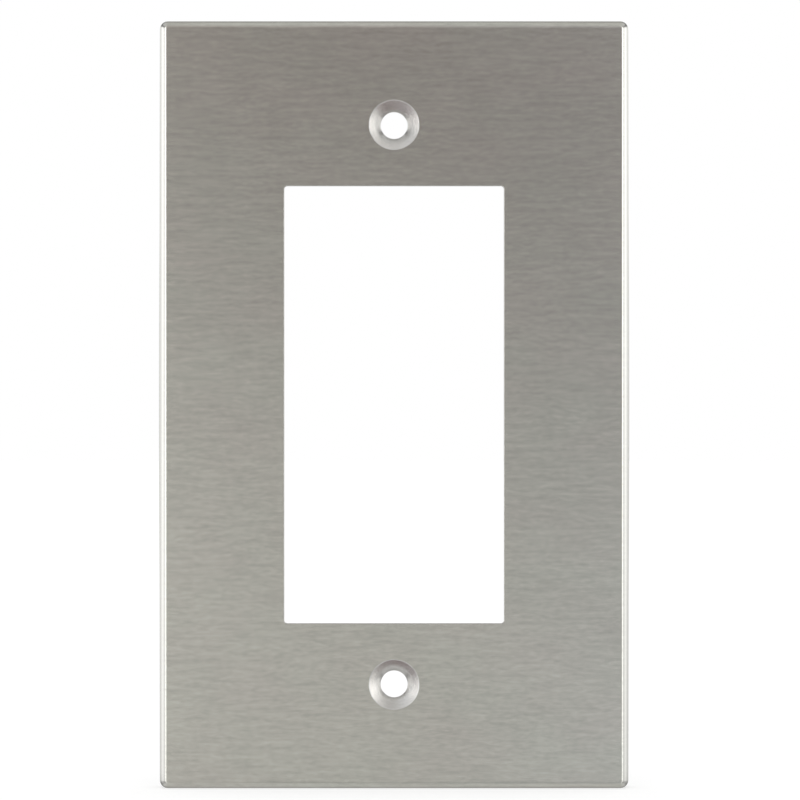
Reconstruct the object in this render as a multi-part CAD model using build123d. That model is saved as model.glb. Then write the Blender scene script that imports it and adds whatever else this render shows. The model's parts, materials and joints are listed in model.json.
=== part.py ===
from build123d import *
import os
from math import cos, radians, tan

# Single-gang stainless steel wall plate with one rectangular device window.
#
# The real object is one piece of sheet steel. A blank is drawn into a shallow open-backed pan, the
# window is punched through its face, and each screw hole is pressed back as a countersunk dimple.
#
# Frame: +Z up as the plate hangs, +X to the right as seen from the room, and the wall plane at y = 0,
# so the face looks along -Y. The origin is the middle of the rim that rests on the wall.
# Dimensions are in millimetres.

# The pan
plate_width = 69.85
plate_height = 114.30
plate_depth = 5.60
sheet_thickness = 0.81
outer_bend_radius = 1.05
inner_bend_radius = outer_bend_radius - sheet_thickness

# The device window
window_width = 32.70
window_height = 65.10
window_corner_radius = 0.45
window_edge_roll = 0.10

# The screw holes, for oval-head screws with a head angle of 82 degrees
screw_spacing = 83.34
screw_hole_radius = 2.00
countersink_radius = 3.70
countersink_half_angle = 41.0
dimple_wall = 0.80
screw_land_length = 0.50

# Levels along Y, from the face towards the wall
face_front = -plate_depth
face_back = face_front + sheet_thickness
countersink_slope = tan(radians(countersink_half_angle))
countersink_depth = (countersink_radius - screw_hole_radius) / countersink_slope
dimple_depth = countersink_depth + screw_land_length

# Cutters start this far outside the metal
cutter_overrun = 1.0


def pan_block(width, height, front, bend_radius):
    """A block from the level front to the wall plane, rounded at its upright corners and front edges."""
    block = Pos(0, front, 0) * Box(width, -front, height, align=(Align.CENTER, Align.MIN, Align.CENTER))
    corner_edges = block.edges().filter_by(Axis.Y)
    front_edges = block.edges().group_by(Axis.Y)[0]
    return fillet(corner_edges + front_edges, bend_radius)


def drawn_pan():
    """The open-backed tray: an outer block less a block one sheet thickness inside it."""
    outside = pan_block(plate_width, plate_height, face_front, outer_bend_radius)
    inside = pan_block(
        plate_width - 2 * sheet_thickness,
        plate_height - 2 * sheet_thickness,
        face_back,
        inner_bend_radius,
    )
    return outside - inside


def window_cutter():
    """A rounded rectangular bar through the face."""
    outline = RectangleRounded(window_width, window_height, window_corner_radius)
    bar_length = sheet_thickness + 2 * cutter_overrun
    bar_start = Pos(0, face_front - cutter_overrun, 0)
    return bar_start * Rot(-90, 0, 0) * extrude(outline, bar_length)


def along_y(depth, height, solid):
    """Turn a solid of revolution so that it runs towards the wall from a depth behind the face."""
    return Pos(0, face_front + depth, height) * Rot(-90, 0, 0) * solid


def cone_from(base_radius, length):
    """A frustum that narrows at the countersink's angle, standing on its wide end."""
    tip_radius = base_radius - length * countersink_slope
    return Cone(base_radius, tip_radius, length, align=(Align.CENTER, Align.CENTER, Align.MIN))


def dimple_boss(height):
    """The metal pressed back around a screw hole: a cone parallel to the countersink."""
    start_depth = sheet_thickness / 2
    wall_across = dimple_wall / cos(radians(countersink_half_angle))
    start_radius = countersink_radius + wall_across - start_depth * countersink_slope
    return along_y(start_depth, height, cone_from(start_radius, dimple_depth - start_depth))


def screw_cutter(height):
    """The countersink and the short cylindrical land behind it."""
    mouth_radius = countersink_radius + cutter_overrun * countersink_slope
    countersink = cone_from(mouth_radius, countersink_depth + cutter_overrun)
    land_length = dimple_depth + 2 * cutter_overrun
    land = Cylinder(screw_hole_radius, land_length, align=(Align.CENTER, Align.CENTER, Align.MIN))
    return along_y(-cutter_overrun, height, countersink + land)


def wall_plate():
    """The finished pressing."""
    plate = drawn_pan() - window_cutter()
    face_edges = plate.edges().group_by(Axis.Y)[0]
    window_edges = face_edges.filter_by(lambda edge: abs(edge.center().X) < window_width)
    window_edges = window_edges.filter_by(lambda edge: abs(edge.center().Z) < screw_spacing / 2)
    plate = fillet(window_edges, window_edge_roll)
    for height in (-screw_spacing / 2, screw_spacing / 2):
        plate += dimple_boss(height)
        plate -= screw_cutter(height)
    return plate


os.makedirs("parts", exist_ok=True)
export_step(wall_plate(), "parts/wall_plate.step")
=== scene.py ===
import json
from math import atan2, cos, pi, radians, sin, tan

import bpy
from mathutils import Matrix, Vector


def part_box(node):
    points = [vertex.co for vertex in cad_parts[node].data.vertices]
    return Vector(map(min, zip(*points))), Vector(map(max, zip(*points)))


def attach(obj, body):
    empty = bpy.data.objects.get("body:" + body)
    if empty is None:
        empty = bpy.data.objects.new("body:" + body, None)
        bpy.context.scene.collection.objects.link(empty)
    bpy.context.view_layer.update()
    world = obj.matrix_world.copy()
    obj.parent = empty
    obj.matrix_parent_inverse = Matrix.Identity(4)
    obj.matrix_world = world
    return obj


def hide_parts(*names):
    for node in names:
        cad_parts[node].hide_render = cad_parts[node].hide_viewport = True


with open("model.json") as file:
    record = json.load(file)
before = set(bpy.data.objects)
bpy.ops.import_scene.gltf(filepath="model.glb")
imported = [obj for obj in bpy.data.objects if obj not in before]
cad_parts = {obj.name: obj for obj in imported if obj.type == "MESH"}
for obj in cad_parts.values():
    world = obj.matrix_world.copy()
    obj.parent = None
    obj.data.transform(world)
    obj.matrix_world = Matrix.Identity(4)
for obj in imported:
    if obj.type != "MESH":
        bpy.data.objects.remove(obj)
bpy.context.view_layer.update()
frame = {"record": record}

# The plate hangs in the XZ plane with its rim on the wall plane y = 0, and its face looks along -Y.
# Lengths are in metres, except in the blank's UV map and in the studio, where they are in millimetres.
MM = 0.001

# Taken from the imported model
plate_low, plate_high = (Vector(corner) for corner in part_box("wall_plate"))
mounts = {mount["name"]: mount for mount in frame["record"]["mounts"]}
HALF_WIDTH = (plate_high.x - plate_low.x) / 2
HALF_HEIGHT = (plate_high.z - plate_low.z) / 2
FACE = plate_low.y
HOLE_RADIUS = mounts["screw_holes"]["dims"]["hole_r_mm"] * MM
SCREW_HEIGHT = mounts["screw_holes"]["dims"]["spacing_y_mm"] * MM / 2

# The sheet and how its edge is drawn
SHEET = 0.81 * MM
BACK = FACE + SHEET
BEND_RADIUS = 1.05 * MM
CORNER_RADIUS = 1.20 * MM
SIDE_BOW = 0.34 * MM
END_BOW = 0.06 * MM
RIM_ROUND = 0.12 * MM

# The punched window
WINDOW_HALF_WIDTH = 16.35 * MM
WINDOW_HALF_HEIGHT = 32.55 * MM
WINDOW_CORNER = 0.45 * MM
WINDOW_ROLL = 0.10 * MM
WINDOW_BREAKOUT = 0.03 * MM
WINDOW_BREAKOUT_LENGTH = 0.35 * SHEET
WINDOW_BURR_ROUND = 0.05 * MM

# The screw holes' countersinks, and the bosses that they make behind the sheet
SINK_RADIUS = 3.70 * MM
SINK_HALF_ANGLE = radians(41)
SINK_SLOPE = tan(SINK_HALF_ANGLE)
SINK_DEPTH = (SINK_RADIUS - HOLE_RADIUS) / SINK_SLOPE
SINK_ROUND = 0.10 * MM
LAND_LENGTH = 0.50 * MM
LAND_RIM_ROUND = 0.06 * MM
BOSS_WALL = 0.80 * MM
BOSS_ROOT_ROUND = 0.60 * MM
BOSS_TIP_ROUND = 0.15 * MM

# Finishes, as material slots of the one mesh
BRUSHED, SHEARED, BRIGHT, MILL = range(4)


# ---------------------------------------------------------------- mesh

class Sheet:
    """The vertices and quads of the pressing.

    Each vertex also has its place on the unfolded blank and its wear, from 0 to 1, which also sets a
    painted highlight.
    """

    def __init__(self):
        self.points = []
        self.blank = []
        self.wear_and_sheen = []
        self.quads = []
        self.finishes = []

    def vertex(self, point, blank, wear_and_sheen=0.0):
        """Add a vertex and return its index."""
        self.points.append(point)
        self.blank.append(blank)
        self.wear_and_sheen.append(wear_and_sheen)
        return len(self.points) - 1

    def skin(self, rings, finishes):
        """Join each ring to the next one with quads that face outwards."""
        for ring, following, finish in zip(rings, rings[1:], finishes):
            count = len(ring)
            for k in range(count):
                after = (k + 1) % count
                self.quads.append((following[k], following[after], ring[after], ring[k]))
                self.finishes.append(finish)


# The face is a grid of lines. Its outer edge, the window and a square round each screw hole are
# rectangles on that grid, and rings of quads lead from them to the rounded outlines.
OPEN_PITCH = 1.4 * MM
CORNER_STEPS = 3
EDGE_MARGIN = 1.0 * MM
EDGE_PITCH = 0.15 * MM
WINDOW_MARGIN = 1.5 * MM
WINDOW_PITCH = 0.25 * MM
SQUARE_HALF = 6.5 * MM
SQUARE_STEPS = 16
OUTLINE_LEAD_STEPS = 3
CIRCLE_LEAD_STEPS = 4


def spaced(start, end, count):
    """The given number of equal steps from start to end, without the start itself."""
    return [start + (end - start) * k / count for k in range(1, count + 1)]


def open_stretch(start, end):
    """Equal steps of about the open pitch from start to end, without the start itself."""
    return spaced(start, end, round((end - start) / OPEN_PITCH))


def mirrored(half):
    """Grid lines for both sides of the middle from those of one side."""
    return [-value for value in reversed(half)] + [0.0] + half


grid_half_width = HALF_WIDTH - BEND_RADIUS - EDGE_MARGIN
grid_half_height = HALF_HEIGHT - BEND_RADIUS - EDGE_MARGIN
window_grid_x = WINDOW_HALF_WIDTH + WINDOW_MARGIN
window_grid_z = WINDOW_HALF_HEIGHT + WINDOW_MARGIN
edge_corner = CORNER_STEPS * EDGE_PITCH
window_corner = CORNER_STEPS * WINDOW_PITCH

columns = mirrored(
    spaced(0, SQUARE_HALF, SQUARE_STEPS // 2)
    + open_stretch(SQUARE_HALF, window_grid_x - window_corner)
    + spaced(window_grid_x - window_corner, window_grid_x, CORNER_STEPS)
    + open_stretch(window_grid_x, grid_half_width - edge_corner)
    + spaced(grid_half_width - edge_corner, grid_half_width, CORNER_STEPS)
)
rows = mirrored(
    open_stretch(0, window_grid_z - window_corner)
    + spaced(window_grid_z - window_corner, window_grid_z, CORNER_STEPS)
    + open_stretch(window_grid_z, SCREW_HEIGHT - SQUARE_HALF)
    + spaced(SCREW_HEIGHT - SQUARE_HALF, SCREW_HEIGHT + SQUARE_HALF, SQUARE_STEPS)
    + open_stretch(SCREW_HEIGHT + SQUARE_HALF, grid_half_height - edge_corner)
    + spaced(grid_half_height - edge_corner, grid_half_height, CORNER_STEPS)
)


def nearest(lines, value):
    """The index of the grid line nearest to a value."""
    return min(range(len(lines)), key=lambda k: abs(lines[k] - value))


def block(half_x, low_z, high_z):
    """The grid indices of a rectangle: left, right, bottom, top."""
    left, right = nearest(columns, -half_x), nearest(columns, half_x)
    bottom, top = nearest(rows, low_z), nearest(rows, high_z)
    return left, right, bottom, top


WHOLE = (0, len(columns) - 1, 0, len(rows) - 1)
WINDOW = block(window_grid_x, -window_grid_z, window_grid_z)
SQUARES = [
    block(SQUARE_HALF, height - SQUARE_HALF, height + SQUARE_HALF)
    for height in (-SCREW_HEIGHT, SCREW_HEIGHT)
]


def outline(rectangle):
    """The grid points round a rectangle, anticlockwise from its lower right corner, as seen in front."""
    left, right, bottom, top = rectangle
    return (
        [(right, row) for row in range(bottom, top)]
        + [(column, top) for column in range(right, left, -1)]
        + [(left, row) for row in range(top, bottom, -1)]
        + [(column, bottom) for column in range(left, right)]
    )


def rounded_stations(rectangle, centre_x, centre_z):
    """A base point and an outward direction for each grid point round a rectangle.

    The corners' arcs turn about (centre_x, centre_z), and the straight sides between them are shared
    out as the grid shares them.
    """
    left, right, bottom, top = rectangle
    stretch_x = centre_x / columns[right - CORNER_STEPS]
    stretch_z = centre_z / rows[top - CORNER_STEPS]
    stations = []
    for column, row in outline(rectangle):
        from_side = min(column - left, right - column)
        from_end = min(row - bottom, top - row)
        sign_x = 1 if columns[column] > 0 else -1
        sign_z = 1 if rows[row] > 0 else -1
        turn = radians(45) * min(from_side, CORNER_STEPS) / CORNER_STEPS
        turn -= radians(45) * min(from_end, CORNER_STEPS) / CORNER_STEPS
        angle = radians(45) + turn
        base_x = sign_x * centre_x if from_side <= CORNER_STEPS else columns[column] * stretch_x
        base_z = sign_z * centre_z if from_end <= CORNER_STEPS else rows[row] * stretch_z
        stations.append((base_x, base_z, sign_x * cos(angle), sign_z * sin(angle)))
    return stations


def round_stations(rectangle, height):
    """Stations round a screw hole, one for each grid point of the square about it."""
    stations = []
    for column, row in outline(rectangle):
        across = columns[column]
        up = rows[row] - height
        if abs(across) > abs(up):
            angle = (0 if across > 0 else pi) + up / across * pi / 4
        else:
            angle = (pi / 2 if up > 0 else -pi / 2) - across / up * pi / 4
        stations.append((0.0, height, cos(angle), sin(angle)))
    return stations


def rounded_profile(corners):
    """A profile of (reach, y, worn) points and the finish of each span between them.

    Each corner is (reach, y, radius, steps, finish of what follows). Arcs take the finish before them
    and have their wear and painted highlight most at their middles. A point close to each end of an
    arc keeps the shading of the straight spans flat.
    """
    guard = 0.05 * MM
    points = []
    finishes = []

    def add(point, wear_and_sheen, finish):
        points.append((point.x, point.y, wear_and_sheen))
        finishes.append(finish)

    add(Vector(corners[0][:2]), 0.0, corners[0][4])
    for before, corner, after in zip(corners, corners[1:], corners[2:]):
        here = Vector(corner[:2])
        towards_before = (Vector(before[:2]) - here).normalized()
        towards_after = (Vector(after[:2]) - here).normalized()
        radius, steps = corner[2:4]
        if not steps:
            add(here, 0.0, corner[4])
            continue
        half_angle = towards_before.angle(towards_after) / 2
        run = radius / tan(half_angle)
        bisector = (towards_before + towards_after).normalized()
        centre = here + bisector * radius / sin(half_angle)
        start = here + towards_before * run - centre
        end = here + towards_after * run - centre
        sweep_angle = start.angle_signed(end)
        first = atan2(start.y, start.x)
        add(centre + start + towards_before * guard, 0.0, before[4])
        for k in range(steps + 1):
            angle = first - sweep_angle * k / steps
            finish = corner[4] if k == steps else before[4]
            wear_and_sheen = sin(pi * k / steps) ** 0.5 if 0 < k < steps else 0.0
            add(centre + radius * Vector((cos(angle), sin(angle))), wear_and_sheen, finish)
        add(centre + end + towards_after * guard, 0.0, corner[4])
    add(Vector(corners[-1][:2]), 0.0, corners[-1][4])
    return points, finishes[:-1]


def bowed(base_x, base_z, out_x, out_z, depth):
    """How far a flange springs outwards between its stiff corners, growing from the bend to the rim."""
    along_side = 1 - (base_z / HALF_HEIGHT) ** 2
    along_end = 1 - (base_x / HALF_WIDTH) ** 2
    return SIDE_BOW * along_side * out_x * depth, END_BOW * along_end * out_z * depth


def sweep(sheet, stations, points, unfold, bow=False):
    """One ring of vertices for each point of a profile, carried round the stations.

    On the unfolded blank, depth behind the face lies outwards if unfold is 1 and inwards if it is -1.
    An arc's wear, and the painted highlight that goes with it, is full at an outline's sides and fades
    to none at its top and bottom.
    """
    rings = []
    for reach, y, wear_and_sheen in points:
        depth = (y - FACE) / -FACE
        along = reach + unfold * (y - FACE)
        ring = []
        for base_x, base_z, out_x, out_z in stations:
            shift_x, shift_z = bowed(base_x, base_z, out_x, out_z, depth) if bow else (0, 0)
            place = (base_x + reach * out_x + shift_x, y, base_z + reach * out_z + shift_z)
            blank = (base_x + along * out_x, base_z + along * out_z)
            # The wear also carries a painted highlight, so it is kept to the side bends.
            ring.append(sheet.vertex(place, blank, wear_and_sheen * abs(out_x)))
        rings.append(ring)
    return rings


def flat_side(sheet, y, finish):
    """The grid on one side of the sheet, with the window and the squares round the holes left out."""
    holes = [WINDOW] + SQUARES

    def quad_is_open(column, row):
        return any(
            left <= column < right and bottom <= row < top
            for left, right, bottom, top in holes
        )

    def point_is_open(column, row):
        return any(
            left < column < right and bottom < row < top
            for left, right, bottom, top in holes
        )

    made = {
        (column, row): sheet.vertex((x, y, z), (x, z))
        for column, x in enumerate(columns)
        for row, z in enumerate(rows)
        if not point_is_open(column, row)
    }
    for i in range(len(columns) - 1):
        for j in range(len(rows) - 1):
            if quad_is_open(i, j):
                continue
            quad = [made[i, j], made[i + 1, j], made[i + 1, j + 1], made[i, j + 1]]
            sheet.quads.append(tuple(quad if y == FACE else reversed(quad)))
            sheet.finishes.append(finish)
    return made


def between(sheet, ring, target, steps):
    """Rings that lead evenly from one flat ring to another, without either."""
    rings = []
    for k in range(1, steps):
        share = k / steps
        layer = []
        for start, end in zip(ring, target):
            place = Vector(sheet.points[start]).lerp(Vector(sheet.points[end]), share)
            blank = Vector(sheet.blank[start]).lerp(Vector(sheet.blank[end]), share)
            layer.append(sheet.vertex(tuple(place), tuple(blank)))
        rings.append(layer)
    return rings


def join_sides(sheet, rectangle, from_side, to_side, swept, finishes, steps):
    """Skin the way from a rectangle on one side, round a swept edge, to the same one on the other.

    Each side is a pair of its grid's vertices and its finish.
    """
    from_grid, from_finish = from_side
    to_grid, to_finish = to_side
    start = [from_grid[place] for place in outline(rectangle)]
    end = [to_grid[place] for place in outline(rectangle)]
    lead_in = [start] + between(sheet, start, swept[0], steps)
    lead_out = between(sheet, swept[-1], end, steps) + [end]
    sheet.skin(
        lead_in + swept + lead_out,
        [from_finish] * len(lead_in) + finishes + [to_finish] * len(lead_out),
    )


# The swept rings start on the flat sheet, this far from an edge's outline
BEND_LEAD = 0.08 * MM
FACE_LEAD = 0.40 * MM
BOSS_LEAD = 0.50 * MM


def add_flange(sheet, front, back):
    """The drawn edge: the bend, the flange, the rim on the wall and the way back inside."""
    outer = CORNER_RADIUS
    inner = outer - SHEET
    flat_edge = outer - BEND_RADIUS - BEND_LEAD
    corners = [
        (flat_edge, FACE, 0, 0, BRUSHED),
        (outer, FACE, BEND_RADIUS, 12, BRUSHED),
        (outer, FACE / 2, 0, 0, BRUSHED),
        (outer, 0, RIM_ROUND, 4, SHEARED),
        (inner, 0, RIM_ROUND, 4, MILL),
        (inner, FACE / 2, 0, 0, MILL),
        (inner, BACK, BEND_RADIUS - SHEET, 6, MILL),
        (flat_edge, BACK, 0, 0, MILL),
    ]
    points, finishes = rounded_profile(corners)
    stations = rounded_stations(WHOLE, HALF_WIDTH - outer, HALF_HEIGHT - outer)
    rings = sweep(sheet, stations, points, 1, bow=True)
    join_sides(sheet, WHOLE, (front, BRUSHED), (back, MILL), rings, finishes, OUTLINE_LEAD_STEPS)


def add_window_edge(sheet, front, back):
    """The punched edge: rolled over in front, burnished, then broken out slightly wider behind."""
    wall = WINDOW_CORNER
    torn = wall + WINDOW_BREAKOUT
    corners = [
        (wall + FACE_LEAD, BACK, 0, 0, MILL),
        (torn, BACK, WINDOW_BURR_ROUND, 3, SHEARED),
        (wall, BACK - WINDOW_BREAKOUT_LENGTH, 0, 0, SHEARED),
        (wall, FACE, WINDOW_ROLL, 6, BRUSHED),
        (wall + FACE_LEAD, FACE, 0, 0, BRUSHED),
    ]
    points, finishes = rounded_profile(corners)
    stations = rounded_stations(WINDOW, WINDOW_HALF_WIDTH - wall, WINDOW_HALF_HEIGHT - wall)
    rings = sweep(sheet, stations, points, -1)
    join_sides(sheet, WINDOW, (back, MILL), (front, BRUSHED), rings, finishes, OUTLINE_LEAD_STEPS)


def add_dimple(sheet, front, back, square, height):
    """A screw hole: the boss behind, the cylindrical land and the countersink in front."""
    tip = FACE + SINK_DEPTH + LAND_LENGTH
    boss_mouth = SINK_RADIUS + BOSS_WALL / cos(SINK_HALF_ANGLE)
    corners = [
        (boss_mouth + BOSS_LEAD, BACK, 0, 0, MILL),
        (boss_mouth - SHEET * SINK_SLOPE, BACK, BOSS_ROOT_ROUND, 6, MILL),
        (boss_mouth - (tip - FACE) * SINK_SLOPE, tip, BOSS_TIP_ROUND, 4, SHEARED),
        (HOLE_RADIUS, tip, LAND_RIM_ROUND, 3, BRIGHT),
        (HOLE_RADIUS, FACE + SINK_DEPTH, SINK_ROUND, 3, BRIGHT),
        (HOLE_RADIUS + SINK_DEPTH * SINK_SLOPE / 2, FACE + SINK_DEPTH / 2, 0, 0, BRIGHT),
        (SINK_RADIUS, FACE, SINK_ROUND, 4, BRUSHED),
        (SINK_RADIUS + FACE_LEAD, FACE, 0, 0, BRUSHED),
    ]
    points, finishes = rounded_profile(corners)
    rings = sweep(sheet, round_stations(square, height), points, -1)
    join_sides(sheet, square, (back, MILL), (front, BRUSHED), rings, finishes, CIRCLE_LEAD_STEPS)


def plate_mesh():
    """The whole pressing as one closed mesh, with its blank as a UV map and its wear and painted
    highlight as an attribute.
    """
    sheet = Sheet()
    front = flat_side(sheet, FACE, BRUSHED)
    back = flat_side(sheet, BACK, MILL)
    add_flange(sheet, front, back)
    add_window_edge(sheet, front, back)
    for square, height in zip(SQUARES, (-SCREW_HEIGHT, SCREW_HEIGHT)):
        add_dimple(sheet, front, back, square, height)
    mesh = bpy.data.meshes.new("wall_plate_sheet")
    mesh.from_pydata(sheet.points, [], sheet.quads)
    mesh.polygons.foreach_set("material_index", sheet.finishes)
    mesh.polygons.foreach_set("use_smooth", [True] * len(sheet.quads))
    blank = mesh.uv_layers.new(name="blank")
    for loop, uv in zip(mesh.loops, blank.data):
        uv.uv = [value / MM for value in sheet.blank[loop.vertex_index]]
    wear_and_sheen = mesh.attributes.new("wear_and_sheen", "FLOAT", "POINT")
    wear_and_sheen.data.foreach_set("value", sheet.wear_and_sheen)
    mesh.update()
    return mesh


# ---------------------------------------------------------------- materials

# Most of a noise texture's values lie between these
NOISE_LOW = 0.3
NOISE_HIGH = 0.7

BUMP_DEPTH = 0.02 * MM


def colour_ramp(tree, factor, stops):
    """The output of a ramp through (position, colour) stops."""
    ramp = tree.nodes.new("ShaderNodeValToRGB")
    elements = ramp.color_ramp.elements
    while len(elements) < len(stops):
        elements.new(0.5)
    for element, (position, colour) in zip(elements, stops):
        element.position = position
        element.color = (*colour, 1.0)
    tree.links.new(factor, ramp.inputs["Fac"])
    return ramp.outputs["Color"]


class Metal:
    """A bare metal's material, with short ways to add and link its nodes."""

    def __init__(self, name):
        self.material = bpy.data.materials.new(name)
        self.material.use_nodes = True
        self.tree = self.material.node_tree
        self.shader = self.tree.nodes["Principled BSDF"]
        self.shader.inputs["Metallic"].default_value = 1.0

    def add(self, kind, **settings):
        node = self.tree.nodes.new(kind)
        for name, value in settings.items():
            setattr(node, name, value)
        return node

    def link(self, source, target):
        """Link an output to an input, or set the input to a plain number or colour."""
        if isinstance(source, (int, float)):
            target.default_value = source
        elif isinstance(source, tuple):
            target.default_value = (*source, 1.0)
        else:
            self.tree.links.new(source, target)

    def blank(self):
        """The place on the unfolded blank, in millimetres: X along the grain and Y across it."""
        return self.add("ShaderNodeUVMap", uv_map="blank").outputs["UV"]

    def place(self):
        """The place on the object, in metres."""
        return self.add("ShaderNodeTexCoord").outputs["Object"]

    def noise(self, coordinates, scale, detail=2.0, roughness=0.5):
        """Noise with its own scale along each axis, in cycles per unit of the coordinates."""
        mapping = self.add("ShaderNodeMapping", vector_type="POINT")
        mapping.inputs["Scale"].default_value = scale
        self.link(coordinates, mapping.inputs["Vector"])
        texture = self.add("ShaderNodeTexNoise")
        texture.inputs["Scale"].default_value = 1.0
        texture.inputs["Detail"].default_value = detail
        texture.inputs["Roughness"].default_value = roughness
        self.link(mapping.outputs["Vector"], texture.inputs["Vector"])
        return texture.outputs["Fac"]

    def ranged(self, noise, low, high):
        """Spread a noise over the range from low to high."""
        node = self.add("ShaderNodeMapRange")
        node.inputs["From Min"].default_value = NOISE_LOW
        node.inputs["From Max"].default_value = NOISE_HIGH
        node.inputs["To Min"].default_value = low
        node.inputs["To Max"].default_value = high
        self.link(noise, node.inputs["Value"])
        return node.outputs["Result"]

    def math(self, operation, *values):
        node = self.add("ShaderNodeMath", operation=operation)
        for value, socket in zip(values, node.inputs):
            self.link(value, socket)
        return node.outputs["Value"]

    def weighted(self, *pairs):
        """The sum of the given (value, weight) pairs."""
        total = self.math("MULTIPLY", *pairs[0])
        for value, weight in pairs[1:]:
            total = self.math("ADD", total, self.math("MULTIPLY", value, weight))
        return total

    def mixed(self, blend_type, factor, first, second):
        """Two colours blended."""
        node = self.add("ShaderNodeMix", data_type="RGBA", blend_type=blend_type)
        inputs = {socket.identifier: socket for socket in node.inputs}
        outputs = {socket.identifier: socket for socket in node.outputs}
        self.link(factor, inputs["Factor_Float"])
        self.link(first, inputs["A_Color"])
        self.link(second, inputs["B_Color"])
        return outputs["Result_Color"]

    def colours(self, factor, stops):
        return colour_ramp(self.tree, factor, stops)

    def bump(self, height, strength):
        node = self.add("ShaderNodeBump")
        node.inputs["Strength"].default_value = strength
        node.inputs["Distance"].default_value = BUMP_DEPTH
        self.link(height, node.inputs["Height"])
        self.link(node.outputs["Normal"], self.shader.inputs["Normal"])

    def surface(self, colour, roughness):
        self.link(colour, self.shader.inputs["Base Color"])
        self.link(roughness, self.shader.inputs["Roughness"])


def brushed_stainless():
    """The abrasive-belt finish: short scratches straight across the blank.

    The bends are rubbed smoother, most at the sides, and the same mask paints a highlight into their
    colour there.
    """
    metal = Metal("brushed_stainless")
    metal.shader.inputs["Anisotropic"].default_value = 0.7
    metal.shader.inputs["Anisotropic Rotation"].default_value = 0.25
    blank = metal.blank()
    tangent = metal.add("ShaderNodeTangent", direction_type="UV_MAP", uv_map="blank")
    metal.link(tangent.outputs["Tangent"], metal.shader.inputs["Tangent"])

    fine = metal.noise(blank, (0.60, 7.0, 1.0), detail=3.0, roughness=0.6)
    short = metal.noise(blank, (0.80, 2.2, 1.0), detail=1.0)
    long = metal.noise(blank, (0.20, 1.4, 1.0), detail=0.5)
    cloud = metal.noise(blank, (0.035, 0.11, 1.0))
    hue = metal.noise(blank, (0.06, 0.10, 1.0))
    grain = metal.weighted((fine, 0.25), (short, 0.40), (long, 0.35))
    tone = metal.weighted((grain, 0.85), (cloud, 0.15))
    dull = (0.570, 0.564, 0.520)
    bright = (0.810, 0.805, 0.740)
    reddish = (1.0, 0.988, 0.975)
    greenish = (0.990, 1.0, 0.978)
    colour = metal.colours(tone, [(0.25, dull), (0.75, bright)])
    tint = metal.colours(hue, [(0.35, reddish), (0.65, greenish)])
    tinted = metal.mixed("MULTIPLY", 1.0, colour, tint)

    # Painted highlight: the wear mask lifts the bends' colour towards this brighter steel. It is full on
    # the side bends and none at the top and bottom.
    rubbed_highlight = (0.93, 0.925, 0.89)
    highlight_share = 0.85
    rubbed_smoothing = 0.05
    wear_and_sheen = metal.add("ShaderNodeAttribute", attribute_name="wear_and_sheen").outputs["Fac"]
    rubbed_and_highlighted = metal.mixed("MIX", metal.math("MULTIPLY", wear_and_sheen, highlight_share), tinted, rubbed_highlight)
    smoothing = metal.math("MULTIPLY", wear_and_sheen, rubbed_smoothing)
    roughness = metal.math("SUBTRACT", metal.ranged(fine, 0.27, 0.23), smoothing)
    metal.surface(rubbed_and_highlighted, roughness)
    metal.bump(grain, 0.016)
    return metal.material


def sheared_steel():
    """Cut edges: bright, with fine score lines through the thickness."""
    metal = Metal("sheared_steel")
    place = metal.place()
    scores = metal.noise(place, (9000.0, 600.0, 9000.0), detail=3.0, roughness=0.6)
    patches = metal.noise(place, (900.0, 1400.0, 900.0))
    tone = metal.weighted((scores, 0.6), (patches, 0.4))
    dull = (0.50, 0.49, 0.46)
    bright = (0.70, 0.69, 0.65)
    colour = metal.colours(tone, [(NOISE_LOW, dull), (NOISE_HIGH, bright)])
    metal.surface(colour, metal.ranged(tone, 0.48, 0.26))
    metal.bump(scores, 0.15)
    return metal.material


def bright_countersink():
    """The coined countersink: bright, with faint rings about the screw's axis."""
    metal = Metal("bright_countersink")
    place = metal.place()
    parts = metal.add("ShaderNodeSeparateXYZ")
    metal.link(place, parts.inputs["Vector"])
    across = parts.outputs["X"]
    up = metal.math("SUBTRACT", metal.math("ABSOLUTE", parts.outputs["Z"]), SCREW_HEIGHT)
    square = metal.math("ADD", metal.math("MULTIPLY", up, up), metal.math("MULTIPLY", across, across))
    from_axis = metal.add("ShaderNodeCombineXYZ")
    metal.link(metal.math("SQRT", square), from_axis.inputs["X"])
    rings = metal.noise(from_axis.outputs["Vector"], (9000.0, 1.0, 1.0), detail=3.0, roughness=0.6)
    patches = metal.noise(place, (700.0, 700.0, 700.0), detail=3.0)
    tone = metal.weighted((rings, 0.6), (patches, 0.4))
    dull = (0.86, 0.85, 0.83)
    bright = (0.96, 0.95, 0.93)
    colour = metal.colours(tone, [(NOISE_LOW, dull), (NOISE_HIGH, bright)])
    metal.surface(colour, metal.ranged(tone, 0.21, 0.12))
    metal.bump(rings, 0.12)
    return metal.material


def mill_finish():
    """The unpolished back of the sheet: smooth rolled metal with a soft haze."""
    metal = Metal("mill_finish")
    blank = metal.blank()
    rolled = metal.noise(blank, (0.25, 3.0, 1.0), detail=4.0, roughness=0.6)
    haze = metal.noise(blank, (0.07, 0.09, 1.0), detail=4.0, roughness=0.55)
    tone = metal.weighted((rolled, 0.5), (haze, 0.5))
    dull = (0.50, 0.495, 0.465)
    bright = (0.60, 0.595, 0.56)
    colour = metal.colours(tone, [(NOISE_LOW, dull), (NOISE_HIGH, bright)])
    metal.surface(colour, metal.ranged(tone, 0.46, 0.34))
    metal.bump(rolled, 0.06)
    return metal.material


# ---------------------------------------------------------------- stage

def grey(level, red=1.0, blue=1.0):
    """A grey of the given level, with its red and blue turned up or down."""
    return (level * red, level, level * blue)


EVEN = [(0.0, grey(1.0)), (1.0, grey(1.0))]


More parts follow.
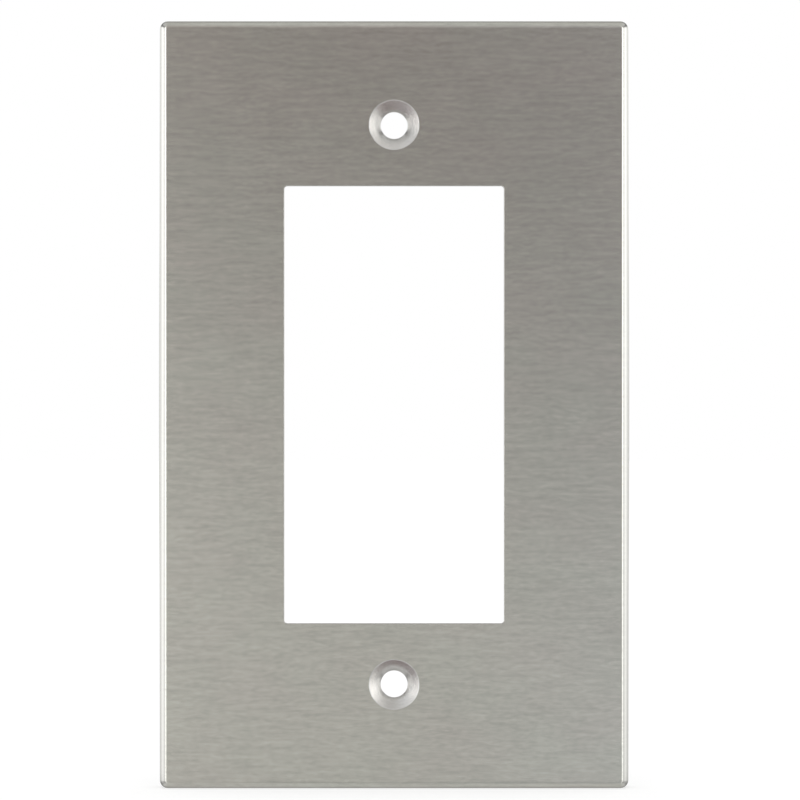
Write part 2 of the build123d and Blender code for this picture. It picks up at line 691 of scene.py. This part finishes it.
def emitter(name, levels, sideways):
    """A glowing card's material.

    Its colour runs through the levels from foot to top, times those from side to side. The strength
    carries the brightest level, so that no stop from foot to top goes over 1.
    """
    material = bpy.data.materials.new(name)
    material.use_nodes = True
    tree = material.node_tree
    tree.nodes.clear()
    output = tree.nodes.new("ShaderNodeOutputMaterial")
    glow = tree.nodes.new("ShaderNodeEmission")
    split = tree.nodes.new("ShaderNodeSeparateXYZ")
    place = tree.nodes.new("ShaderNodeUVMap")
    place.uv_map = "card"
    tree.links.new(place.outputs["UV"], split.inputs["Vector"])
    brightest = max(max(colour) for position, colour in levels)
    upwards = [(position, [value / brightest for value in colour]) for position, colour in levels]
    product = tree.nodes.new("ShaderNodeVectorMath")
    product.operation = "MULTIPLY"
    tree.links.new(colour_ramp(tree, split.outputs["Y"], upwards), product.inputs[0])
    tree.links.new(colour_ramp(tree, split.outputs["X"], sideways), product.inputs[1])
    glow.inputs["Strength"].default_value = brightest
    tree.links.new(product.outputs["Vector"], glow.inputs["Color"])
    tree.links.new(glow.outputs["Emission"], output.inputs["Surface"])
    return material


def panel(name, corners, material):
    """One quad, its corners given in order round it."""
    mesh = bpy.data.meshes.new(name)
    mesh.from_pydata(corners, [], [(0, 1, 2, 3)])
    mesh.materials.append(material)
    ob = bpy.data.objects.new(name, mesh)
    bpy.context.scene.collection.objects.link(ob)
    return ob


def card(name, corners, levels, sideways=EVEN):
    """A studio card, seen by nothing but the metal's reflections.

    Its corners, in millimetres, go round from the start of its foot.
    """
    scaled = [Vector(corner) * MM for corner in corners]
    ob = panel(name, scaled, emitter(name, levels, sideways))
    uv = ob.data.uv_layers.new(name="card")
    for loop, place in zip(uv.data, ((0, 0), (1, 0), (1, 1), (0, 1))):
        loop.uv = place
    ob.visible_camera = False
    ob.visible_diffuse = False
    ob.visible_transmission = False
    ob.visible_volume_scatter = False
    ob.visible_shadow = False


# The studio is a square booth of cards round the plate, in millimetres from its middle. A grey strip
# stands in front, wider at its head and with its levels tilted down to the right, and another behind.
BOOTH = 400
STRIP_TILT = 50
LEFT_FOOT = 62
LEFT_HEAD = 178
RIGHT_FOOT = 76
RIGHT_HEAD = 160
BACK_STRIP = 120

# How a side's panels fade along their length: the one in front, the one beside and the one behind
PANEL_FADES = (
    [(0.0, 0.80), (0.06, 1.05), (0.18, 1.05), (0.32, 0.42), (1.0, 0.40)],
    [(0.0, 0.40), (0.22, 0.47), (0.40, 0.46), (0.52, 0.36), (1.0, 0.28)],
    [(0.0, 0.28), (0.55, 0.38), (1.0, 0.33)],
)


def height_stops(*stops):
    """Turn (height, colour) pairs into places along a card of the booth's full height."""
    return [((height + BOOTH) / (2 * BOOTH), colour) for height, colour in stops]


def add_front_strip():
    """What the face reflects: dark opposite the plate's top, and lighter opposite its foot."""
    levels = height_stops(
        (-BOOTH, grey(0.50)),
        (-210, grey(0.42)),
        (-148, grey(0.40)),
        (-98, grey(0.82)),
        (-50, grey(0.57)),
        (20, grey(0.37)),
        (60, grey(0.17, red=1.2)),
        (92, grey(0.09, red=1.5)),
        (122, grey(0.28, red=1.1)),
        (150, grey(0.50, red=1.06)),
        (BOOTH, grey(0.50, red=1.06)),
    )
    sideways = [(0.35, grey(0.99, red=1.01, blue=0.99)), (0.65, grey(0.97, red=0.97, blue=1.05))]
    corners = [
        (-LEFT_FOOT, -BOOTH, STRIP_TILT - BOOTH),
        (RIGHT_FOOT, -BOOTH, -STRIP_TILT - BOOTH),
        (RIGHT_HEAD, -BOOTH, BOOTH - STRIP_TILT),
        (-LEFT_HEAD, -BOOTH, BOOTH + STRIP_TILT),
    ]
    card("front_strip", corners, levels, sideways)


def add_back_strip():
    """What the back of the sheet reflects."""
    levels = height_stops(
        (-BOOTH, grey(0.35)),
        (-60, grey(0.55)),
        (60, grey(0.75)),
        (BOOTH, grey(0.5)),
    )
    corners = [
        (-BACK_STRIP, BOOTH, -BOOTH),
        (BACK_STRIP, BOOTH, -BOOTH),
        (BACK_STRIP, BOOTH, BOOTH),
        (-BACK_STRIP, BOOTH, BOOTH),
    ]
    card("back_strip", corners, levels)


def add_side(side, sign, foot, head, levels):
    """The white panels that wrap round one side, from the front strip's edge to the back strip's."""
    feet = [(foot, -BOOTH), (BOOTH, -BOOTH), (BOOTH, BOOTH), (BACK_STRIP, BOOTH)]
    heads = [(head, -BOOTH)] + feet[1:]
    for k, fade in enumerate(PANEL_FADES):
        foot_start, foot_end = feet[k:k + 2]
        head_start, head_end = heads[k:k + 2]
        path = [(*foot_start, -BOOTH), (*foot_end, -BOOTH), (*head_end, BOOTH), (*head_start, BOOTH)]
        corners = [(sign * x, y, z) for x, y, z in path]
        sideways = [(place, grey(level)) for place, level in fade]
        card(f"{side}_panel_{k}", corners, levels, sideways)


def add_sides():
    """Both sides' panels, brightest from the plate's foot to well above its top."""
    left = height_stops(
        (-BOOTH, grey(0.8)),
        (-170, grey(1.0)),
        (-70, grey(2.5)),
        (180, grey(2.75)),
        (260, grey(0.5)),
        (BOOTH, grey(0.4)),
    )
    right = height_stops(
        (-BOOTH, grey(0.8)),
        (-170, grey(1.0)),
        (-90, grey(2.0)),
        (60, grey(2.75)),
        (180, grey(2.75)),
        (260, grey(0.5)),
        (BOOTH, grey(0.4)),
    )
    add_side("left", -1, LEFT_FOOT, LEFT_HEAD, left)
    add_side("right", 1, RIGHT_FOOT, RIGHT_HEAD, right)


def add_lids():
    """The booth's top and bottom, dimmer towards the back."""
    front_level = 0.62
    back_level = 0.6 * front_level
    levels = [
        (0.0, grey(front_level)),
        (0.5, grey(front_level)),
        (0.8, grey(back_level)),
        (1.0, grey(back_level)),
    ]
    for name, height in (("top", BOOTH), ("under", -BOOTH)):
        corners = [
            (-BOOTH, -BOOTH, height),
            (BOOTH, -BOOTH, height),
            (BOOTH, BOOTH, height),
            (-BOOTH, BOOTH, height),
        ]
        card(name, corners, levels)


def add_floor():
    """A plain pale floor just under the plate, left out of the metal's reflections."""
    material = bpy.data.materials.new("floor")
    material.use_nodes = True
    shader = material.node_tree.nodes["Principled BSDF"]
    shader.inputs["Base Color"].default_value = (0.45, 0.45, 0.45, 1)
    shader.inputs["Roughness"].default_value = 0.9
    shader.inputs["Specular IOR Level"].default_value = 0.0
    shader.inputs["Emission Color"].default_value = (1, 1, 1, 1)
    shader.inputs["Emission Strength"].default_value = 0.60
    reach = 4.0
    height = plate_low.z - 0.01 * MM
    corners = [
        (-reach, -reach, height),
        (reach, -reach, height),
        (reach, reach, height),
        (-reach, reach, height),
    ]
    floor = panel("floor", corners, material)
    floor.visible_glossy = False


def add_world():
    """Even white light from all round, which also gives the photo's white background."""
    world = bpy.data.worlds.new("studio")
    world.use_nodes = True
    background = world.node_tree.nodes["Background"]
    background.inputs["Color"].default_value = (1, 1, 1, 1)
    background.inputs["Strength"].default_value = 1.0
    bpy.context.scene.world = world


def add_camera():
    """Square on to the face, and framed as the photo is."""
    distance = 750 * MM
    view_height = 119.1 * MM
    aim_x = 0.88 * MM
    aim_z = 0.70 * MM
    data = bpy.data.cameras.new("camera")
    data.sensor_width = 36
    data.lens = data.sensor_width * distance / view_height
    data.clip_start = 10 * MM
    camera = bpy.data.objects.new("camera", data)
    camera.location = (aim_x, FACE - distance, aim_z)
    camera.rotation_euler = (pi / 2, 0, 0)
    bpy.context.scene.collection.objects.link(camera)
    bpy.context.scene.camera = camera


# ---------------------------------------------------------------- assembly

plate = bpy.data.objects.new("wall_plate_sheet", plate_mesh())
bpy.context.scene.collection.objects.link(plate)
for material in (brushed_stainless(), sheared_steel(), bright_countersink(), mill_finish()):
    plate.data.materials.append(material)
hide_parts("wall_plate")
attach(plate, "root")

add_front_strip()
add_back_strip()
add_sides()
add_lids()
add_floor()
add_world()
add_camera()
bpy.context.scene.view_settings.view_transform = "Standard"
